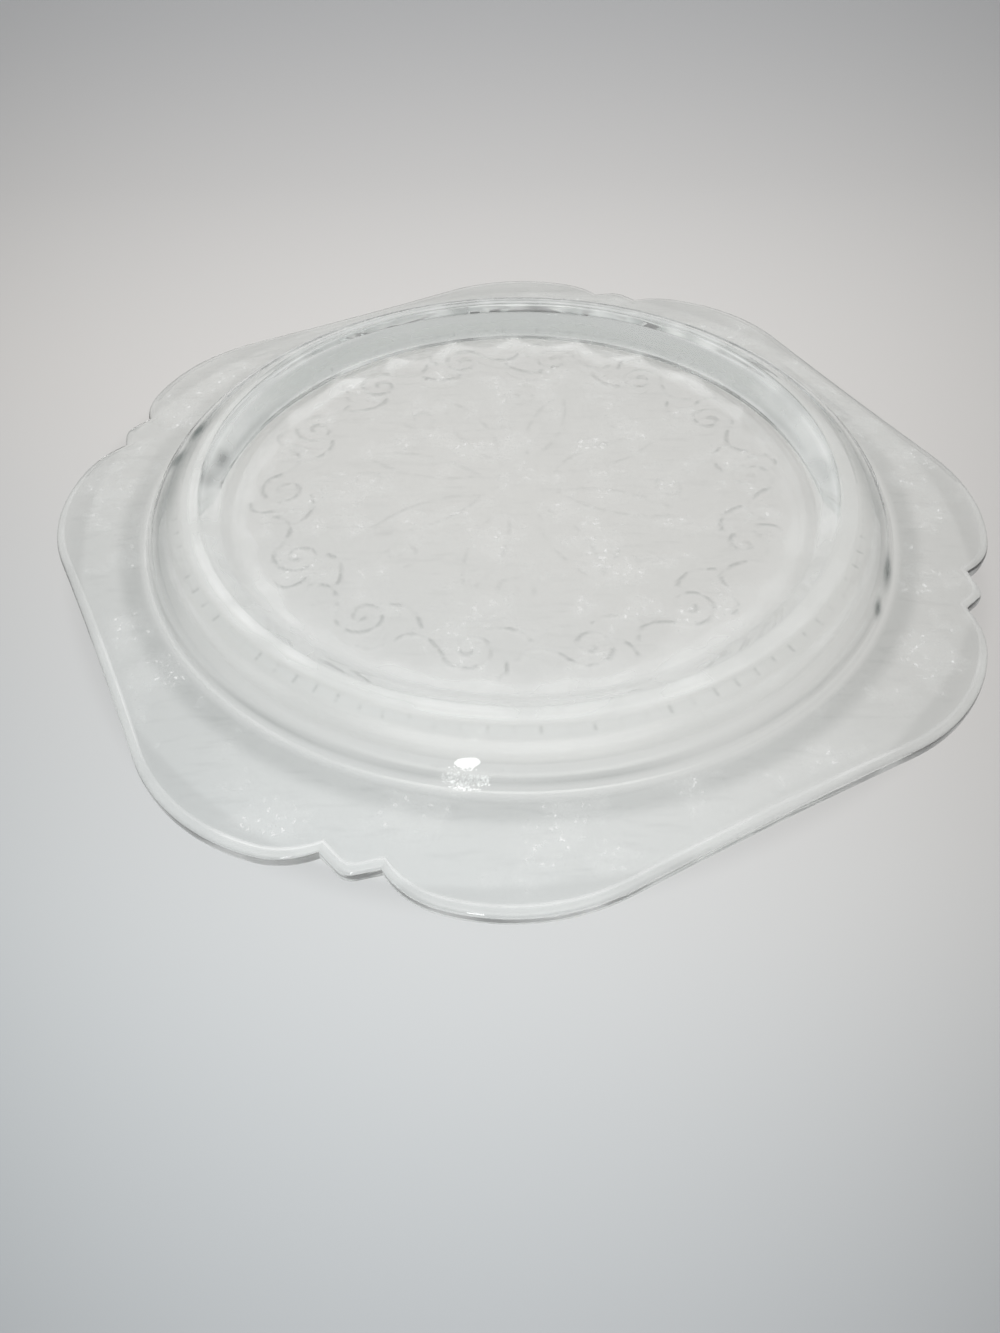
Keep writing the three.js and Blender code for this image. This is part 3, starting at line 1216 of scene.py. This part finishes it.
    def _sheen(self, radius: Array, angle: Array, inset: Array) -> Array:
        """Painted sheen for highlights and reflections on the foot, margin, shoulder, junction and rim's
        edge.
        """
        left = self._facing(angle, Side.LEFT, self.least_left)
        front = self._facing(angle, Side.FRONT, self.least_front)
        far = self._facing(angle, Side.FAR)
        turn = angle - self.front
        sides = np.abs(np.sin(turn)) ** self.slope_sides
        sheen_layer = [self.margin_left * left, self.margin_far * far, self.margin_front * front]
        lobes = soft_band(radius, [self._lace(angle) + offset for offset in self.lobes])
        crest = np.maximum(far**3, self.crest_sides * sides)
        bevel_front = front * (1 - self.bevel_right_loss * self._facing(angle, Side.RIGHT))
        parts = (
            (self.foot_sheen, soft_band(radius, self.foot) * np.maximum(left, self.foot_far * far)),
            (self.margin_sheen, self._margin(radius, angle, far) * np.maximum.reduce(sheen_layer)),
            (self.cast_sheen, soft_band(radius, self.cast) * self._facing(angle, Side.FRONT)),
            (self.shoulder_sheen, self.shoulder.on(radius)),
            (self.slope_sheen, soft_band(radius, self.slope) * sides),
            (self.crest_sheen, soft_band(radius, self.crest) * crest),
            (self.ledge_sheen, soft_band(radius, self.ledge) * far**3),
            (self.fold_sheen, self.fold.on(radius - self.fold_drift * (1 + np.cos(turn))) * far),
            (self.lobe_sheen, lobes * far**2),
            (self.junction_sheen, self.junction.on(radius) * left),
            (self.bevel_line_sheen, self.bevel_line.on(inset) * bevel_front),
            (self.bevel_sheen, soft_band(inset, self.bevel) * bevel_front),
            (self.edge_sheen, self.edge.on(inset) * front),
        )
        return sum(part * sheen.at(angle) for sheen, part in parts)

    def _shade(self, radius: Array, angle: Array, inset: Array) -> Array:
        """Painted shade: a line by the junction, a painted shadow band outside it, the wall's sides and
        the edge.
        """
        far = self._facing(angle, Side.FAR)
        turn = angle - self.front
        side = np.abs(np.sin(turn)) ** self.streak_sides
        side *= 1 - self.streak_right_loss * self._facing(angle, Side.RIGHT)
        lace, (rise, fall) = self._lace(angle), self.lace_notch
        notches = soft_band(radius, (lace, lace + rise, self.fold.place, self.fold.place + fall))
        groove = self.groove.on(radius) * self.groove_shade.at(angle)
        streak = self.streak.on(radius - self.streak_drift * np.cos(turn)) * side
        parts = [
            soft_band(radius, self.shadow_band) * self._between(self.shadow, far),
            groove * self._between(self.groove_kept, far),
            self.lace_notch_shade * notches * far**2,
            streak * self.streak_shade.at(angle),
            self.edge_shadow.on(inset) * self._between(self.edge_shade, far),
        ]
        return np.maximum.reduce(parts)

    def _mottle(self, radius: Array, angle: Array, inset: Array) -> Array:
        """Mottle of each place: most on the rim and the panel, doubled by the highlight for painted glints
        and fine bumps.
        """
        rim = soft_step(radius, *self.rim_mottle) * soft_step(inset, *self.edge_mottle)
        panel = self.panel_mottle_share * (1 - soft_step(radius, *self.panel_mottle))
        sparkles = self.sparkle_mottle * self.sparkle.on(radius, angle - self.front)
        return np.maximum.reduce([rim, panel, sparkles])

    def _specks(self, radius: Array, angle: Array) -> Array:
        """Painted shade: dark spots that stand in for dark reflections on the wall's sides."""
        spots = [spot.on(radius, angle - self.front) for spot in self.dark_reflection_spots]
        return self.dark_spot_shade * np.maximum.reduce(spots)


@dataclass
class Plate:
    """The plate: one closed skin of glass."""

    outline: RimOutline = field(default_factory=RimOutline)
    section: PlateSection = field(default_factory=PlateSection)
    relief: ScrollRelief = field(default_factory=ScrollRelief)
    finish: PressedGlass = field(default_factory=PressedGlass)
    light_and_mottle: PaintedLightAndMottle = field(default_factory=PaintedLightAndMottle)
    eye_radius: float = 13 * MM
    middle_radius: float = 28 * MM
    border: Span = (58 * MM, 81 * MM)
    marks: Span = (97.3 * MM, 101 * MM)
    trial_spacing: float = 0.05 * MM
    least_spacing: float = 0.2 * MM
    eye_spacing: float = 1.6 * MM
    field_spacing: float = 1.1 * MM
    border_spacing: float = 0.8 * MM
    foot_spacing: float = 0.6 * MM
    wall_spacing: float = 1.2 * MM
    rim_rings: int = 16
    land_rings: int = 5
    face_spacing: float = 9 * MM

    def build(self) -> bpy.types.Object:
        """Make the plate.

        Returns:
            The finished object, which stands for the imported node.
        """
        glass = self.finish.material()
        rings, back_rings = self._rings()
        starts = np.cumsum([1] + [len(ring) for ring in rings])
        mesh = self._skin(rings, starts, back_rings)
        plain = add_object("plain_plate", mesh)
        pressed = self.relief.press(plain, glass)
        bpy.data.objects.remove(plain)
        pressed.name = "pressed_plate"
        pressed.shade_smooth()
        self._crease(pressed, starts[back_rings : back_rings + len(self.section.edge()) + 1])
        piece = add_object("pressed_plate", pressed)
        piece.visible_diffuse = False
        return piece

    def _crease(self, mesh: bpy.types.Mesh, starts: Array) -> None:
        """Keep the notches' inner corners crisp where the edge is upright.

        Args:
            mesh: The plate's mesh.
            starts: First point of each ring of the edge, and of the ring after them.
        """
        places = self.outline.notch_places()
        pairs = zip(starts.tolist(), starts[1:].tolist())
        wanted = {(first + place, second + place) for first, second in pairs for place in places}
        flags = np.array([tuple(sorted(edge.vertices)) in wanted for edge in mesh.edges])
        attribute = mesh.attributes.new("sharp_edge", "BOOLEAN", "EDGE")
        attribute.data.foreach_set("value", flags)
        LOG.info("sharp edges: %d", int(flags.sum()))

    def _rings(self) -> tuple[list[Array], int]:
        """All rings of the skin, from the middle of the back over the edge to the middle of the face.

        Returns:
            The rings, and how many of them, counted from the first, carry the relief.
        """
        back = self._back_rings()
        rim, edge = self._rim_rings(back[-1])
        return back + rim + edge + self._face_rings(edge[-1]), len(back) + len(rim)

    def _back_rings(self) -> list[Array]:
        """Round rings of the back, finest where the ornament is."""
        line = self.section.back()
        rings = []
        for radius, z in self._spaced(line):
            if radius < self.eye_radius:
                zone = Zone.EYE
            elif radius < self.middle_radius:
                zone = Zone.MIDDLE
            elif any(start < radius < end for start, end in (self.border, self.marks)):
                zone = Zone.BORDER
            else:
                zone = Zone.FIELD
            rings.append(self._round_ring(radius, z, zone.value))
        return rings

    def _spaced(self, line: Array) -> Array:
        """Split the back's line as finely as each part needs, without its point on the axis."""
        fine = with_spacing(line, self.trial_spacing)
        limits = (self.middle_radius, *self.border, self.marks[1])
        on_panel = (self.eye_spacing, self.field_spacing, self.border_spacing)
        spacings = np.array([*on_panel, self.foot_spacing, self.wall_spacing])
        wanted = spacings[np.searchsorted(limits, fine[:, 0])]
        bends = {tuple(point) for point in np.round(line, MATCHED_DIGITS)}
        kept = []
        run = 0.0
        for index in range(1, len(fine)):
            run += float(np.hypot(*(fine[index] - fine[index - 1])))
            at_bend = tuple(np.round(fine[index], MATCHED_DIGITS)) in bends and run > self.least_spacing
            if at_bend or run >= wanted[index] or index == len(fine) - 1:
                kept.append(fine[index])
                run = 0.0
        return np.array(kept)

    @staticmethod
    def _round_ring(radius: float, z: float, count: int) -> Array:
        """One round ring of evenly spread points, the first on the diagonal."""
        angles = math.pi / 4 + np.arange(count) * (2 * math.pi / count)
        return np.stack([radius * np.cos(angles), radius * np.sin(angles), np.full(count, z)], axis=1)

    def _rim_rings(self, start: Array) -> tuple[list[Array], list[Array]]:
        """Rings across the back of the rim and over its edge.

        Args:
            start: The last round ring of the back.

        Returns:
            The rim's rings and the edge's rings.
        """
        outline = self.outline.points()
        edge = [self._edge_ring(outline, inset, z) for inset, z in self.section.edge()]
        rim = []
        for share in np.linspace(0.0, 1.0, self.rim_rings + 1)[1:-1]:
            ring = start * (1 - share) + edge[0] * share
            ring[:, 2] = self._rim_height(ring[:, :2])
            rim.append(ring)
        return rim, edge

    def _rim_height(self, places: Array) -> Array:
        """Height of the rim's back, which rises straight from the uncut outline to the wall."""
        section = self.section
        radius = np.hypot(places[:, 0], places[:, 1])
        reach = self.outline.uncut_reach(np.arctan2(places[:, 1], places[:, 0]))
        share = (radius - section.well_radius) / (reach - section.well_radius)
        return section.junction.z - section.rim_rise * share

    def _edge_ring(self, outline: Array, inset: float, z: float) -> Array:
        """One ring at a distance from the outline, lifted where the rim is cut back for the tabs."""
        section = self.section
        reach = np.hypot(outline[:, 0], outline[:, 1])
        uncut = self.outline.uncut_reach(np.arctan2(outline[:, 1], outline[:, 0]))
        lift = section.rim_rise * (uncut - reach) / (uncut - section.well_radius)
        places = outline * ((reach - inset) / reach)[:, None]
        return np.concatenate([places, (z + lift)[:, None]], axis=1)

    def _face_rings(self, start: Array) -> list[Array]:
        """Rings of the eating surface, from the rim's land to the middle."""
        line = with_spacing(self.section.face(), self.face_spacing)[::-1]
        rim_end = self._round_ring(*line[0], Zone.FIELD.value)
        shares = np.linspace(0.0, 1.0, self.land_rings + 1)[1:]
        rings = [start * (1 - share) + rim_end * share for share in shares]
        for radius, z in line[1:-1]:
            zone = Zone.FIELD if radius > self.border[0] else Zone.MIDDLE
            rings.append(self._round_ring(radius, z, zone.value))
        return rings

    def _skin(self, rings: list[Array], starts: Array, back_rings: int) -> bpy.types.Mesh:
        """Join the rings into a closed mesh.

        Args:
            rings: The rings in order, each with as many, twice or half the points of the one before.
            starts: First point of each ring, and the point after the last ring.
            back_rings: How many of them carry the relief.

        Returns:
            The mesh, with a mask attribute that is 1 on the back, and the maps of painted light, shade and
            mottle.
        """
        section = self.section
        top = np.array([[0.0, 0.0, section.panel.z]])
        bottom = np.array([[0.0, 0.0, section.panel.z - section.panel_thickness]])
        points = np.concatenate([top, *rings, bottom])
        faces = self._fan(0, starts[0], len(rings[0]), outwards=False)
        for start, ring, next_start, next_ring in zip(starts, rings, starts[1:], rings[1:]):
            faces += self._bridge(start, len(ring), next_start, len(next_ring))
        faces += self._fan(len(points) - 1, starts[-2], len(rings[-1]), outwards=True)
        mesh = bpy.data.meshes.new("plain_plate")
        mesh.from_pydata(points.tolist(), [], faces)
        mesh.update()
        number = np.arange(len(points))
        self._store(mesh, BACK_MASK, number < starts[back_rings])
        on_edge = number < starts[back_rings + len(section.edge()) - 1]
        radius, angle = np.hypot(points[:, 0], points[:, 1]), np.arctan2(points[:, 1], points[:, 0])
        for name, values in self.light_and_mottle.maps(radius, angle, self._reach(angle) - radius).items():
            self._store(mesh, name, values * on_edge)
        return mesh

    def _reach(self, angle: Array) -> Array:
        """Distance from the axis to the rim's edge in each direction."""
        outline = self.outline.points()
        turns = np.arctan2(outline[:, 1], outline[:, 0])
        order = np.argsort(turns)
        return np.interp(angle, turns[order], np.hypot(*outline.T)[order], period=2 * math.pi)

    @staticmethod
    def _store(mesh: bpy.types.Mesh, name: str, values: Array) -> None:
        """Keep one number for each point of a mesh."""
        attribute = mesh.attributes.new(name, "FLOAT", "POINT")
        attribute.data.foreach_set("value", values.astype(np.float32))

    @staticmethod
    def _fan(pole: int, start: int, count: int, outwards: bool) -> list[tuple[int, ...]]:
        """Triangles from a pole to its ring."""
        faces = []
        for step in range(count):
            pair = (int(start) + step, int(start) + (step + 1) % count)
            faces.append((pole, *(pair[::-1] if outwards else pair)))
        return faces

    @staticmethod
    def _bridge(start: int, count: int, next_start: int, next_count: int) -> list[tuple[int, ...]]:
        """Faces between two rings, where one may have twice the points of the other.

        Args:
            start: First point of the inner ring on the back, which comes first.
            count: Its number of points.
            next_start: First point of the next ring.
            next_count: Its number of points.

        Returns:
            The faces, pointing out of the glass.
        """
        start, next_start = int(start), int(next_start)
        if count == next_count:
            pairs = [(step, (step + 1) % count) for step in range(count)]
            return [(start + a, next_start + a, next_start + b, start + b) for a, b in pairs]
        finer_next = count < next_count
        coarse, fine = (start, next_start) if finer_next else (next_start, start)
        small, large = sorted((count, next_count))
        faces: list[tuple[int, ...]] = []
        for step in range(small):
            c0, c1 = coarse + step, coarse + (step + 1) % small
            f0, f1, f2 = (fine + (2 * step + k) % large for k in range(3))
            trio = [(c0, f0, f1), (c0, f1, c1), (c1, f1, f2)]
            faces += trio if finer_next else [face[::-1] for face in trio]
        return faces


@dataclass(frozen=True)
class PhotoCamera:
    """The photograph's camera: close, wide and looking down at the plate from one corner's left."""

    heading: float = math.radians(27.11)
    pitch: float = math.radians(47.64)
    roll: float = math.radians(-0.77)
    distance: float = 277.8 * MM
    look_right: float = -6.05 * MM
    look_away: float = -62.9 * MM
    focal_share: float = 1046.9 / 1333
    sensor: float = 36.0
    clip: Span = (0.005, 50.0)

    @property
    def turn(self) -> Matrix:
        """Turn from the camera's heading to the plate's frame."""
        return Matrix.Rotation(-self.heading, 4, "Z")

    def build(self) -> bpy.types.Object:
        """Place the camera.

        Returns:
            The camera object.
        """
        camera = bpy.data.cameras.new("photo_camera")
        camera.sensor_fit = "VERTICAL"
        camera.sensor_height = self.sensor
        camera.lens = self.focal_share * self.sensor
        camera.clip_start, camera.clip_end = self.clip
        cos_pitch, sin_pitch = math.cos(self.pitch), math.sin(self.pitch)
        forward = Vector((0.0, cos_pitch, -sin_pitch))
        up = Vector((0.0, sin_pitch, cos_pitch))
        right = Vector((1.0, 0.0, 0.0))
        tilted_right = right * math.cos(self.roll) + up * math.sin(self.roll)
        tilted_up = up * math.cos(self.roll) - right * math.sin(self.roll)
        target = Vector((self.look_right, self.look_away, 0.0))
        pose = Matrix((tilted_right, tilted_up, -forward)).transposed().to_4x4()
        pose.translation = target - forward * self.distance
        piece = add_object("photo_camera", camera)
        piece.matrix_world = self.turn @ pose
        bpy.context.scene.camera = piece
        return piece


@dataclass(frozen=True)
class Lamp:
    """A soft oval lamp."""

    name: str
    place: Point
    target: Point
    size: Span
    power: float

    def build(self, turn: Matrix) -> bpy.types.Object:
        """Hang the lamp.

        Args:
            turn: Turn from the camera's heading to the plate's frame.

        Returns:
            The lamp object.
        """
        light = bpy.data.lights.new(self.name, "AREA")
        light.shape = "ELLIPSE"
        light.size, light.size_y = self.size
        light.energy = self.power
        piece = add_object(self.name, light)
        place = turn @ Vector(self.place)
        look = (turn @ Vector(self.target) - place).to_track_quat("-Z", "Y")
        piece.matrix_world = Matrix.Translation(place) @ look.to_matrix().to_4x4()
        return piece


@dataclass
class Studio:
    """Pale paper sweep, a soft lamp and the room around them. Places are as the camera sees them."""

    camera: PhotoCamera = field(default_factory=PhotoCamera)
    paper: TablePaper = field(default_factory=TablePaper)
    half_width: float = 1.6
    front: float = -1.2
    bend_start: float = 0.24
    bend_radius: float = 0.35
    bend_turn: float = math.radians(37)
    bend_steps: int = 24
    floor_gap: float = 0.15 * MM
    floor_level: Colour = (0.34, 0.34, 0.345)
    floor_end: Span = (-0.3, 0.05)
    back_wall: Colour = (0.53, 0.532, 0.528)
    side_walls: Colour = (0.66, 0.66, 0.655)
    side_start: Span = (0.1, 0.5)
    ceiling: Colour = (1.25, 1.25, 1.25)
    ceiling_start: Span = (0.74, 0.92)
    soft_light: Colour = (1.7, 1.67, 1.63)
    soft_light_height: float = 0.78
    soft_light_depth: Span = (0.06, 0.2)
    soft_light_width: Span = (0.25, 0.65)
    soft_light_front: Span = (0.0, 0.2)
    lamp: Lamp = Lamp("camera_lamp", (-0.216, -0.863, 0.455), (-0.014, -0.105, 0.013), (0.1, 0.5), 1.2)

    def build(self) -> None:
        """Lay the paper, hang the lamp and set the room's light."""
        turn = self.camera.turn
        self._sweep(turn)
        self.lamp.build(turn)
        self._room(turn)
        self.camera.build()

    def _sweep(self, turn: Matrix) -> None:
        """Lay the paper: flat under the plate, and curved up behind it."""
        centre, down = (self.bend_start, self.bend_radius - self.floor_gap), -math.pi / 2
        bend = arc(centre, self.bend_radius, down, down + self.bend_turn, self.bend_steps)
        line = [(self.front, -self.floor_gap), *bend]
        points = [turn @ Vector((side * self.half_width, y, z)) for y, z in line for side in (-1, 1)]
        faces = [(2 * i, 2 * i + 1, 2 * i + 3, 2 * i + 2) for i in range(len(line) - 1)]
        mesh = bpy.data.meshes.new("paper_sweep")
        mesh.from_pydata([tuple(point) for point in points], [], faces)
        mesh.shade_smooth()
        mesh.materials.append(self.paper.material(turn))
        sweep = add_object("paper_sweep", mesh)

    def _room(self, turn: Matrix) -> None:
        """Light from the room: dim walls, a paler ceiling and a wide soft light above the camera."""
        world = bpy.data.worlds.new("studio_room")
        bpy.context.scene.world = world
        world.use_nodes = True
        world.node_tree.nodes.clear()
        graph = Graph(world.node_tree)
        direction = graph.add("ShaderNodeTexCoord").outputs["Generated"]
        right, away, up = (graph.along(direction, turn @ Vector(axis)) for axis in Matrix.Identity(3))
        walls = graph.blend(right.size().step(*self.side_start), self.back_wall, self.side_walls)
        lower = graph.blend(up.step(*self.floor_end), self.floor_level, walls)
        room = graph.blend(up.step(*self.ceiling_start), lower, self.ceiling)
        near_height = 1 - (up - self.soft_light_height).size().step(*self.soft_light_depth)
        near_middle = 1 - right.size().step(*self.soft_light_width)
        shine = near_height * near_middle * (away * -1).step(*self.soft_light_front)
        colour = graph.blend(1.0, room, graph.blend(shine, (0.0, 0.0, 0.0), self.soft_light), "ADD")
        light = graph.add("ShaderNodeBackground", {"Color": colour, "Strength": 1.0})
        graph.add("ShaderNodeOutputWorld", {"Surface": light})


def main() -> None:
    """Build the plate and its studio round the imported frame."""
    logging.basicConfig(level=logging.INFO, format="%(name)s: %(message)s")
    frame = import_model()
    LOG.info("frame nodes: %s", ", ".join(sorted(frame["nodes"])))
    bpy.context.scene.view_settings.view_transform = "Standard"
    plate = Plate().build()
    LOG.info("%s: %d faces", plate.name, len(plate.data.polygons))
    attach(plate, BODY)
    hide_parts(PLATE_NODE)
    Studio().build()


if __name__ == "__main__":
    main()
